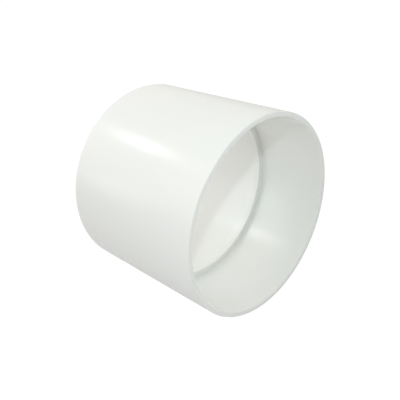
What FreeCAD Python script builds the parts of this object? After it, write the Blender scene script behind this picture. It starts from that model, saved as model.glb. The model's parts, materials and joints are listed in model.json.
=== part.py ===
import FreeCAD, Part
import os

import Sketcher

# Straight pipe coupling in white PVC, for two pipes of one size that meet end to end.
#
# sleeve     the outer tube, with a plain socket in each end and a narrow land between them
# stop_ring  the square-section ring cemented on that land, which both pipe ends come up against
#
# Millimetres, +Z up. The coupling lies on its side with its axis along X, and the origin is on
# the axis at mid-length, which is the middle of the stop ring. Both pieces are turned about X
# and are symmetrical about the YZ plane.

# Driving dimensions: alias, value and what it measures.
SIZES = [
    ("outer_diameter", 113.2, "outside of the sleeve"),
    ("overall_length", 92.1, "from end face to end face"),
    ("socket_diameter", 107.6, "bore of each socket, a slip fit on the pipe"),
    ("socket_depth", 44.45, "from an end face to the stop"),
    ("seat_diameter", 106.4, "bore of the land that carries the stop ring"),
    ("stop_bore", 100.0, "clear way through the stop ring"),
    ("rim_round", 0.4, "radius on the outer edge of each end face"),
    ("lead_in", 0.5, "chamfer at the mouth of each socket"),
    ("stop_edge", 0.3, "chamfer on the two bore edges of the stop ring"),
]

# Lengths along the axis from mid-length, and radii, as expressions on the sheet.
END_FACE = "sizes.overall_length / 2"
STOP_FACE = "sizes.overall_length / 2 - sizes.socket_depth"
BARREL = "sizes.outer_diameter / 2"
SOCKET = "sizes.socket_diameter / 2"
SEAT = "sizes.seat_diameter / 2"
STOP_BORE = "sizes.stop_bore / 2"

# Sketcher's own numbers for its origin point and vertical axis, and for a line's two ends.
ORIGIN = -1
V_AXIS = -2
START = 1
END = 2

NEAR = 1e-6


def make_sheet(doc):
    """Spreadsheet with one row per driving dimension: its name, its value and what it measures."""
    sheet = doc.addObject("Spreadsheet::Sheet", "sizes")
    for row, (alias, value, meaning) in enumerate(SIZES, start=1):
        sheet.set(f"A{row}", alias)
        sheet.set(f"B{row}", str(value))
        sheet.set(f"C{row}", meaning)
        sheet.setAlias(f"B{row}", alias)
    doc.recompute()


def value_of(owner, expression):
    """The number, in mm, that an expression on the sheet stands for."""
    return float(owner.evalExpression(expression))


def origin_plane(body, role):
    """One of a body's own origin planes, found by its role."""
    return next(item for item in body.Origin.OriginFeatures if item.Role == role)


def half_section(body, name, corners):
    """Closed section in the XZ plane, mirrored about the Z axis.

    corners holds the (axial, radial) expressions of the corners with positive X, in order. Each is
    dimensioned from the origin, and its twin on the other side is held symmetrical with it.
    """
    sketch = body.newObject("Sketcher::SketchObject", name)
    sketch.AttachmentSupport = [(origin_plane(body, "XZ_Plane"), "")]
    sketch.MapMode = "FlatFace"

    right = [(value_of(sketch, axial), value_of(sketch, radial)) for axial, radial in corners]
    left = [(-axial, radial) for axial, radial in reversed(right)]
    points = [FreeCAD.Vector(axial, radial, 0) for axial, radial in right + left]
    count = len(points)
    for index in range(count):
        line = Part.LineSegment(points[index], points[(index + 1) % count])
        sketch.addGeometry(line, False)

    for index in range(count):
        following = (index + 1) % count
        sketch.addConstraint(Sketcher.Constraint("Coincident", index, END, following, START))
    for index in range(len(corners)):
        twin = count - 1 - index
        mirrored = Sketcher.Constraint("Symmetric", index, START, twin, START, V_AXIS)
        sketch.addConstraint(mirrored)
    for index, (axial, radial) in enumerate(corners):
        for kind, expression, value in (
            ("DistanceX", axial, right[index][0]),
            ("DistanceY", radial, right[index][1]),
        ):
            size = Sketcher.Constraint(kind, ORIGIN, START, index, START, value)
            number = sketch.addConstraint(size)
            sketch.setExpression(f"Constraints[{number}]", expression)
    return sketch


def turned_body(doc, label, corners):
    """Body made by one full turn of a half_section about the X axis."""
    body = doc.addObject("PartDesign::Body", label)
    body.Label = label
    body.Placement = FreeCAD.Placement()
    sketch = half_section(body, f"{label}_section", corners)
    turn = body.newObject("PartDesign::Revolution", f"{label}_turn")
    turn.Profile = sketch
    turn.ReferenceAxis = (sketch, ["H_Axis"])
    turn.Angle = 360
    doc.recompute()
    return body


def circle_names(feature, radius, distance):
    """Names of the circular edges with this radius, centred this far either way from mid-length."""
    names = []
    for number, edge in enumerate(feature.Shape.Edges, start=1):
        if not isinstance(edge.Curve, Part.Circle):
            continue
        same_radius = abs(edge.Curve.Radius - radius) < NEAR
        same_place = abs(abs(edge.Curve.Center.x) - distance) < NEAR
        if same_radius and same_place:
            names.append(f"Edge{number}")
    return names


def dress(doc, body, kind, prop, alias, radius, distance):
    """Fillet or chamfer, sized by the alias, on both circles of this radius and distance."""
    base = body.Tip
    names = circle_names(base, value_of(body, radius), value_of(body, distance))
    if len(names) != 2:
        raise RuntimeError(f"{body.Label}: {alias} needs two circular edges, found {len(names)}")
    feature = body.newObject(f"PartDesign::{kind}", f"{body.Label}_{alias}")
    feature.Base = (base, names)
    feature.setExpression(prop, f"sizes.{alias}")
    doc.recompute()


def make_sleeve(doc):
    """Outer tube: two sockets bored from the ends, with the land left between them."""
    corners = [(STOP_FACE, SEAT), (STOP_FACE, SOCKET), (END_FACE, SOCKET), (END_FACE, BARREL)]
    body = turned_body(doc, "sleeve", corners)
    dress(doc, body, "Fillet", "Radius", "rim_round", BARREL, END_FACE)
    dress(doc, body, "Chamfer", "Size", "lead_in", SOCKET, END_FACE)
    return body


def make_stop_ring(doc):
    """Ring as wide as the land, from its seat in to the bore that the water runs through."""
    body = turned_body(doc, "stop_ring", [(STOP_FACE, STOP_BORE), (STOP_FACE, SEAT)])
    dress(doc, body, "Chamfer", "Size", "stop_edge", STOP_BORE, STOP_FACE)
    return body


def check(doc, bodies):
    """Stop if any object failed to compute, or a piece has no sound single solid."""
    for item in doc.Objects:
        if "Invalid" in item.State or "Error" in item.State:
            raise RuntimeError(f"{item.Label} failed: {item.State}")
    for body in bodies:
        shape = body.Shape
        if shape.isNull() or not shape.isValid() or len(shape.Solids) != 1:
            raise RuntimeError(f"{body.Label} has no sound solid")


doc = FreeCAD.newDocument("pipe_coupling")
make_sheet(doc)
bodies = [make_sleeve(doc), make_stop_ring(doc)]
doc.recompute()
check(doc, bodies)

os.makedirs("parts", exist_ok=True)
for body in bodies:
    body.Shape.exportStep(f"parts/{body.Label}.step")
    size = body.Shape.optimalBoundingBox()
    print(
        f"{body.Label}: {size.XLength:.2f} x {size.YLength:.2f} x {size.ZLength:.2f} mm,"
        f" {body.Shape.Volume / 1000:.2f} cm3"
    )
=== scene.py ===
import json
import math

import bpy
import numpy as np
from mathutils import Matrix, Vector


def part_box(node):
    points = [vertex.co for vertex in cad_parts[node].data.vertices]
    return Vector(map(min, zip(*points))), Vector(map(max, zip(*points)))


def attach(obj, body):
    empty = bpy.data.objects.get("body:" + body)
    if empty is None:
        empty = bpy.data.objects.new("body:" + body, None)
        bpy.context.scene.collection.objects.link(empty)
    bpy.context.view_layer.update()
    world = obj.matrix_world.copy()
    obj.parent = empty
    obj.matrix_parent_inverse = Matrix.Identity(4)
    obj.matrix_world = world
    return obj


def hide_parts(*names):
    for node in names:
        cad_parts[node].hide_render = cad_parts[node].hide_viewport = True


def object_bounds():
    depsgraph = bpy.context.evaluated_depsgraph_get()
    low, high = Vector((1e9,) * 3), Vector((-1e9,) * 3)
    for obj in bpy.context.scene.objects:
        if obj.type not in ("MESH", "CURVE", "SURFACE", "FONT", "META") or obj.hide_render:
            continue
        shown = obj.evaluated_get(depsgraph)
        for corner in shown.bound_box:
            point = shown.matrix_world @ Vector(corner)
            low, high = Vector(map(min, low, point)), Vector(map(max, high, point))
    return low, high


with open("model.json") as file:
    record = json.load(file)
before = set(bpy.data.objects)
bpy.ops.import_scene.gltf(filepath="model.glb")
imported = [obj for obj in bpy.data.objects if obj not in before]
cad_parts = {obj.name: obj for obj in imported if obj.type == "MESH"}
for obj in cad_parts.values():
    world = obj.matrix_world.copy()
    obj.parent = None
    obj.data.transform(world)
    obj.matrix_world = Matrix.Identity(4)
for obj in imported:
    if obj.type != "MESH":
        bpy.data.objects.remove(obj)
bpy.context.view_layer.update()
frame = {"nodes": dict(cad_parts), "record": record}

# White PVC pipe coupling: a thin sleeve with a socket in each end and a stop ring at mid-length.
# Metres throughout. The axis is X, and the coupling lies on a pale floor with +Z up.

MM = 0.001


# ---------------------------------------------------------------- sizes taken from the frame


def radii(node):
    """Least and greatest distance of a CAD node's surface from the X axis."""
    mesh = frame["nodes"][node].data
    points = np.empty(len(mesh.vertices) * 3)
    mesh.vertices.foreach_get("co", points)
    points = points.reshape(-1, 3)
    distance = np.hypot(points[:, 1], points[:, 2])
    return distance.min(), distance.max()


def mount(name):
    """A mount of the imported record, by name."""
    return next(m for m in frame["record"]["mounts"] if m["name"] == name)


SEAT, BARREL = radii("sleeve")
STOP_BORE = radii("stop_ring")[0]
SOCKET = mount("socket_right")["dims"]["r_mm"] * MM
END_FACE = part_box("sleeve")[1].x
STOP_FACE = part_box("stop_ring")[1].x


# ---------------------------------------------------------------- turned surfaces

# Points round the axis, points on a corner's arc, and how near a straight stretch's second and
# last-but-one points lie to its ends, which keeps the shading of the arcs off the flats.
AROUND = 400
ARC_STEPS = 6
TIGHT = 0.12 * MM


def stretch(start, end, step):
    """Points of the line from start up to, but without, end.

    They are start itself, then even steps of about step, from TIGHT after start to TIGHT before
    end.
    """
    length = np.linalg.norm(end - start)
    count = max(2, round((length - 2 * TIGHT) / step))
    along = np.concatenate([[0.0], np.linspace(TIGHT, length - TIGHT, count)]) / length
    return start + along[:, None] * (end - start)


def rounded_loop(corners, step):
    """Closed outline through corners of (axial, radial, rounding).

    Each corner is cut back along both its sides by rounding / tan(inside / 2), where inside is the
    angle between the sides, and the two cuts are joined by the arc of that rounding. An arc point
    is centre + (sin((1 - share) * span) * first + sin(share * span) * last) / sin(span), where
    first and last run from the centre to the cuts, span is the angle between them, and share goes
    from 0 to 1. Straight stretches are split by stretch().
    """
    places = np.array([corner[:2] for corner in corners])
    rounding = np.array([corner[2] for corner in corners])
    back = np.roll(places, 1, axis=0) - places
    ahead = np.roll(places, -1, axis=0) - places
    back /= np.linalg.norm(back, axis=1)[:, None]
    ahead /= np.linalg.norm(ahead, axis=1)[:, None]
    inside = np.arccos(np.clip((back * ahead).sum(1), -1, 1))
    cut = rounding / np.tan(inside / 2)
    entry = places + back * cut[:, None]
    leave = places + ahead * cut[:, None]
    middle = back + ahead
    middle /= np.linalg.norm(middle, axis=1)[:, None]
    centre = places + middle * (rounding / np.sin(inside / 2))[:, None]

    outline = []
    for index in range(len(corners)):
        first, last = entry[index] - centre[index], leave[index] - centre[index]
        span = math.pi - inside[index]
        share = np.linspace(0, 1, ARC_STEPS, endpoint=False)[:, None]
        arc = (np.sin((1 - share) * span) * first + np.sin(share * span) * last) / math.sin(span)
        outline.append(centre[index] + arc)
        following = (index + 1) % len(corners)
        outline.append(stretch(leave[index], entry[following], step))
    return np.concatenate(outline)


def turned(name, outline, shift):
    """Ring with a closed section, turned once about X.

    Grid point (i, j) is (x_i, r_ij cos t_j, r_ij sin t_j), where (x_i, r_i) runs round the section,
    t_j runs round the axis in even steps, and r_ij is r_i + shift(x_i, t_j).
    """
    angle = np.linspace(0, 2 * math.pi, AROUND, endpoint=False)
    axial, radial = outline[:, 0][:, None], outline[:, 1][:, None]
    radius = radial + shift(axial, angle[None, :])
    grid = np.stack(
        [np.broadcast_to(axial, radius.shape), radius * np.cos(angle), radius * np.sin(angle)],
        axis=-1,
    )
    rows, columns = radius.shape
    index = np.arange(rows * columns).reshape(rows, columns)
    below = np.roll(index, -1, axis=0)
    quads = np.stack([index, below, np.roll(below, -1, axis=1), np.roll(index, -1, axis=1)], -1)
    quads = quads.reshape(-1, 4)
    if signed_area(outline) < 0:
        quads = quads[:, ::-1]

    mesh = bpy.data.meshes.new(name)
    mesh.from_pydata(grid.reshape(-1, 3), [], quads)
    mesh.shade_smooth()
    mesh.update()
    piece = bpy.data.objects.new(name, mesh)
    bpy.context.scene.collection.objects.link(piece)
    return piece


def signed_area(outline):
    """Area of a closed outline by the shoelace sum: positive if it runs anticlockwise."""
    ahead = np.roll(outline, -1, axis=0)
    return ((outline[:, 0] * ahead[:, 1] - ahead[:, 0] * outline[:, 1]).sum()) / 2


# ---------------------------------------------------------------- the two pieces


# Ripples of the thin wall: height, waves round it, turn in radians to the metre, and phase.
RIPPLES = [
    (0.05 * MM, 2, 0, 0.7),
    (0.02 * MM, 3, 24, 1.9),
    (0.008 * MM, 5, -40, 0.0),
]


def wall_waves(axial, angle):
    """Slow ripple of a thin plastic wall, in metres of radius.

    It is the sum over RIPPLES of height * cos(waves * angle + turn * axial + phase).
    """
    return sum(
        height * np.cos(waves * angle + turn * axial + phase)
        for height, waves, turn, phase in RIPPLES
    )


def mirrored(right):
    """Corners with positive X, followed by their mirror images, so that the outline closes."""
    return right + [(-axial, radial, rounding) for axial, radial, rounding in reversed(right)]


def make_sleeve():
    """Outer tube: round-edged rims, a lead-in at each mouth, and the land under the stop ring."""
    rim, mouth, root = 0.45 * MM, 0.15 * MM, 0.12 * MM
    lead = 0.5 * MM
    right = [
        (STOP_FACE, SEAT, root),
        (STOP_FACE, SOCKET, root),
        (END_FACE - lead, SOCKET, mouth),
        (END_FACE, SOCKET + lead, mouth),
        (END_FACE, BARREL, rim),
    ]
    return turned("coupling_sleeve", rounded_loop(mirrored(right), step=2.0 * MM), wall_waves)


def make_stop_ring():
    """Square ring on the land, its bore edges just broken."""
    bore_edge, seat_edge = 0.35 * MM, 0.1 * MM
    right = [(STOP_FACE, STOP_BORE, bore_edge), (STOP_FACE, SEAT, seat_edge)]
    return turned("coupling_stop_ring", rounded_loop(mirrored(right), step=0.5 * MM), wall_waves)


# ---------------------------------------------------------------- shader language


class Value:
    """A number in a node tree. Arithmetic on it adds Math nodes."""

    def __init__(self, tree, socket):
        self.tree = tree
        self.socket = socket

    def math(self, operation, *others):
        return self.tree.node("ShaderNodeMath", {"operation": operation}, [self, *others])

    def __add__(self, other):
        return self.math("ADD", other)

    def __rsub__(self, other):
        return self.tree.node("ShaderNodeMath", {"operation": "SUBTRACT"}, [other, self])

    def __mul__(self, other):
        return self.math("MULTIPLY", other)

    __radd__ = __add__
    __rmul__ = __mul__

    def ramp(self, low, high):
        """0 below low and 1 above high, smooth between them."""
        settings = {"interpolation_type": "SMOOTHSTEP", "clamp": True}
        return self.tree.node("ShaderNodeMapRange", settings, [self, low, high, 0.0, 1.0])


class Tree:
    """The node tree of one material or world."""

    def __init__(self, owner):
        owner.use_nodes = True
        self.nodes = owner.node_tree.nodes
        self.links = owner.node_tree.links
        self.nodes.clear()

    def node(self, kind, settings, inputs, output=0):
        """Add a node: its settings first, then each socket's value or link, by place or name."""
        node = self.nodes.new(kind)
        for name, value in settings.items():
            setattr(node, name, value)
        pairs = inputs.items() if isinstance(inputs, dict) else enumerate(inputs)
        for key, value in pairs:
            if isinstance(value, Value):
                self.links.new(value.socket, node.inputs[key])
            else:
                node.inputs[key].default_value = value
        return Value(self, node.outputs[output]) if node.outputs else None

    def mix(self, factor, first, second):
        """Colour between first and second."""
        inputs = {0: factor, 6: first, 7: second}
        return self.node("ShaderNodeMix", {"data_type": "RGBA"}, inputs, output=2)

    def noise(self, place, scale, detail):
        """Smooth noise, about 0 to 1, with scale features to the metre."""
        inputs = {"Vector": place, "Scale": scale, "Detail": detail, "Roughness": 0.5}
        return self.node("ShaderNodeTexNoise", {}, inputs)

    def stretched(self, place, factors):
        """Place with each of its coordinates multiplied by a factor."""
        return self.node("ShaderNodeMapping", {}, {"Vector": place, "Scale": factors})


# ---------------------------------------------------------------- finishes

# Features to the metre of the clouding and the orange peel, and of the draw lines along X, Y, Z.
CLOUDS = 28.0
PEEL = 900.0
DRAW_LINES = (4.0, 420.0, 420.0)
# Distance between the rings that the saw leaves on an end face.
SAW_PITCH = 0.22 * MM
# The cut finish fades in between these depths behind an end face.
CUT_FROM, CUT_TO = 0.4 * MM, 0.05 * MM
BUMP_DEPTH = 0.03 * MM
SCATTER_DEPTH = 1.2 * MM

WHITE = (1.0, 1.0, 1.0, 1.0)
# The table's grey and glow, then how bright the camera sees it, and how much of that hides it.
TABLE_GREY = (0.5, 0.5, 0.5, 1.0)
TABLE_GLOW = 0.27
TABLE_WHITE = 1.06
TABLE_COVER = 0.94


def white_pvc(name, cool, warm, gloss):
    """Glossy rigid PVC: faint clouding, draw lines along X, orange peel and sawn end faces."""
    material = bpy.data.materials.new(name)
    tree = Tree(material)
    place = tree.node("ShaderNodeTexCoord", {}, {}, output="Object")
    x = tree.node("ShaderNodeSeparateXYZ", {}, [place], output="X")
    y = tree.node("ShaderNodeSeparateXYZ", {}, [place], output="Y")
    z = tree.node("ShaderNodeSeparateXYZ", {}, [place], output="Z")

    cut = x.math("ABSOLUTE").ramp(END_FACE - CUT_FROM, END_FACE - CUT_TO)
    off_axis = (y * y + z * z).math("SQRT")

    clouds = tree.noise(place, CLOUDS, detail=3.0)
    lines = tree.noise(tree.stretched(place, DRAW_LINES), 1.0, detail=3.0)
    peel = tree.noise(place, PEEL, detail=1.0)
    rings = (off_axis * (2 * math.pi / SAW_PITCH)).math("SINE")

    colour = tree.mix(clouds.ramp(0.3, 0.7), cool, warm)
    roughness = gloss + 0.06 * clouds + 0.05 * lines + 0.22 * cut
    height = (1 - cut) * (0.5 * lines + 0.25 * peel) + cut * 0.35 * rings
    normal = tree.node(
        "ShaderNodeBump",
        {},
        {"Strength": 0.25, "Distance": BUMP_DEPTH, "Height": height},
    )
    surface = tree.node(
        "ShaderNodeBsdfPrincipled",
        {"subsurface_method": "RANDOM_WALK"},
        {
            "Base Color": colour,
            "Roughness": roughness,
            "Normal": normal,
            "IOR": 1.53,
            "Subsurface Weight": 0.12,
            "Subsurface Radius": (1.0, 0.9, 0.8),
            "Subsurface Scale": SCATTER_DEPTH,
        },
    )
    tree.node("ShaderNodeOutputMaterial", {}, {"Surface": surface})
    return material


def light_table(name):
    """Pale, faintly lit table top. The camera sees it burnt out to white, with a trace of shade."""
    material = bpy.data.materials.new(name)
    tree = Tree(material)
    matt = tree.node("ShaderNodeBsdfDiffuse", {}, {"Color": TABLE_GREY})
    glow = tree.node("ShaderNodeEmission", {}, {"Color": WHITE, "Strength": TABLE_GLOW})
    top = tree.node("ShaderNodeAddShader", {}, [matt, glow])
    white = tree.node("ShaderNodeEmission", {}, {"Color": WHITE, "Strength": TABLE_WHITE})
    seen = tree.node("ShaderNodeLightPath", {}, {}, output="Is Camera Ray")
    both = tree.node("ShaderNodeMixShader", {}, [seen * TABLE_COVER, top, white])
    tree.node("ShaderNodeOutputMaterial", {}, {"Surface": both})
    return material


# ---------------------------------------------------------------- floor, lights and camera

# Where the camera looks from, and its lens and sensor in millimetres.
AZIMUTH = math.radians(44.6)
ELEVATION = math.radians(24.2)
LENS = 47.7
SENSOR = 36.0
# The mouth's centre from the camera, in outside radii: to the right, up and ahead.
MOUTH_FROM_CAMERA = (0.610, -0.168, 4.948)

COOL_WHITE = (0.97, 1.0, 1.0)
# Lamps: name, place, what it is aimed at, cone in degrees, watts, bulb radius and colour.
LAMPS = [
    (
        "key_over_camera",
        (0.191, -0.189, 0.194),
        (0.0, 0.0, 0.0),
        150,
        0.91,
        6 * MM,
        (0.86, 1.0, 0.99),
    ),
    (
        "lamp_behind_left",
        (-0.156, -0.113, 0.165),
        (0.011, 0.039, -0.037),
        56,
        0.15,
        9 * MM,
        COOL_WHITE,
    ),
    (
        "fill_low_left",
        (-0.140, -0.170, 0.010),
        (-0.030, -0.050, 0.0),
        120,
        0.038,
        30 * MM,
        COOL_WHITE,
    ),
]
# Panels of the light tent: azimuth from +X towards +Y, elevation, both in degrees, and strength.
PANELS = [
    (0, 45, 0.76),
    (60, 45, 0.50),
    (150, 45, 0.24),
    (240, 45, 0.42),
    (75, 12, 0.30),
    (135, 12, 0.50),
    (180, 12, 1.00),
    (225, 12, 1.03),
]
PANEL_FALL_OFF = 4
TENT_COLOUR = (1.02, 1.0, 0.97, 1.0)
TENT_WHITE = 1.02

# The camera's own directions.
RIGHT = Vector((math.cos(AZIMUTH), math.sin(AZIMUTH), 0.0))
AHEAD = Vector(
    (
        -math.sin(AZIMUTH) * math.cos(ELEVATION),
        math.cos(AZIMUTH) * math.cos(ELEVATION),
        -math.sin(ELEVATION),
    )
)
UP = RIGHT.cross(AHEAD)


def from_camera(offsets):
    """World vector for an offset to the right, up and ahead, in outside radii."""
    right, up, ahead = offsets
    return (RIGHT * right + UP * up + AHEAD * ahead) * BARREL


def make_camera():
    """Camera with the mouth's centre at its place in the frame, looking along AHEAD, no roll."""
    data = bpy.data.cameras.new("camera")
    data.lens = LENS
    data.sensor_width = SENSOR
    data.clip_start = 0.01
    data.clip_end = 50.0
    camera = bpy.data.objects.new("camera", data)
    camera.matrix_world = Matrix((RIGHT, UP, -AHEAD)).transposed().to_4x4()
    camera.location = Vector((END_FACE, 0.0, 0.0)) - from_camera(MOUTH_FROM_CAMERA)
    bpy.context.scene.collection.objects.link(camera)
    bpy.context.scene.camera = camera


def make_floor():
    """Wide flat sheet that the coupling lies on."""
    half = 6.0
    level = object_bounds()[0].z
    signs = [(-1, -1), (1, -1), (1, 1), (-1, 1)]
    corners = [(half * across, half * along, level) for across, along in signs]
    mesh = bpy.data.meshes.new("floor")
    mesh.from_pydata(corners, [], [(0, 1, 2, 3)])
    floor = bpy.data.objects.new("floor", mesh)
    floor.data.materials.append(light_table("light_table"))
    bpy.context.scene.collection.objects.link(floor)


def make_lamp(name, place, target, cone, power, radius, colour):
    """Lamp with a soft-edged cone of light, which the camera doesn't see."""
    data = bpy.data.lights.new(name, "SPOT")
    data.energy = power
    data.color = colour
    data.shadow_soft_size = radius
    data.spot_size = math.radians(cone)
    data.spot_blend = 1.0
    lamp = bpy.data.objects.new(name, data)
    lamp.location = place
    lamp.rotation_euler = (Vector(target) - Vector(place)).to_track_quat("-Z", "Y").to_euler()
    lamp.visible_camera = False
    bpy.context.scene.collection.objects.link(lamp)


def make_tent():
    """White tent with a few brighter panels, each fading as a power of the cosine off its middle.

    The camera sees it as plain white.
    """
    world = bpy.data.worlds.new("light_tent")
    bpy.context.scene.world = world
    tree = Tree(world)
    direction = tree.node("ShaderNodeTexCoord", {}, {}, output="Generated")
    strength = 0.0
    for azimuth, elevation, power in PANELS:
        turn, rise = math.radians(azimuth), math.radians(elevation)
        level = math.cos(rise)
        middle = (level * math.cos(turn), level * math.sin(turn), math.sin(rise))
        facing = tree.node(
            "ShaderNodeVectorMath",
            {"operation": "DOT_PRODUCT"},
            [direction, middle],
            output="Value",
        )
        panel = power * facing.math("MAXIMUM", 0.0).math("POWER", PANEL_FALL_OFF)
        strength = panel + strength
    light = tree.node("ShaderNodeBackground", {}, {"Color": TENT_COLOUR, "Strength": strength})
    white = tree.node("ShaderNodeBackground", {}, {"Color": WHITE, "Strength": TENT_WHITE})
    seen = tree.node("ShaderNodeLightPath", {}, {}, output="Is Camera Ray")
    both = tree.node("ShaderNodeMixShader", {}, [seen, light, white])
    tree.node("ShaderNodeOutputWorld", {}, {"Surface": both})


# ---------------------------------------------------------------- build

SLEEVE_COOL, SLEEVE_WARM = (0.902, 0.915, 0.9, 1.0), (0.912, 0.915, 0.89, 1.0)
# The stop ring's colours are the same white PVC as the sleeve's, made a touch darker as painted
# shade, which darkens the stop faces inside the coupling.
RING_COOL, RING_WARM = (0.895, 0.908, 0.893, 1.0), (0.905, 0.908, 0.883, 1.0)

sleeve = make_sleeve()
sleeve.data.materials.append(white_pvc("sleeve_white_pvc", SLEEVE_COOL, SLEEVE_WARM, gloss=0.2))
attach(sleeve, "root")
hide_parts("sleeve")

stop_ring = make_stop_ring()
stop_ring.data.materials.append(
    white_pvc("stop_ring_white_pvc", RING_COOL, RING_WARM, gloss=0.26)
)
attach(stop_ring, "root")
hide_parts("stop_ring")

make_camera()
make_floor()
make_tent()
for lamp in LAMPS:
    make_lamp(*lamp)
bpy.context.scene.view_settings.view_transform = "Standard"
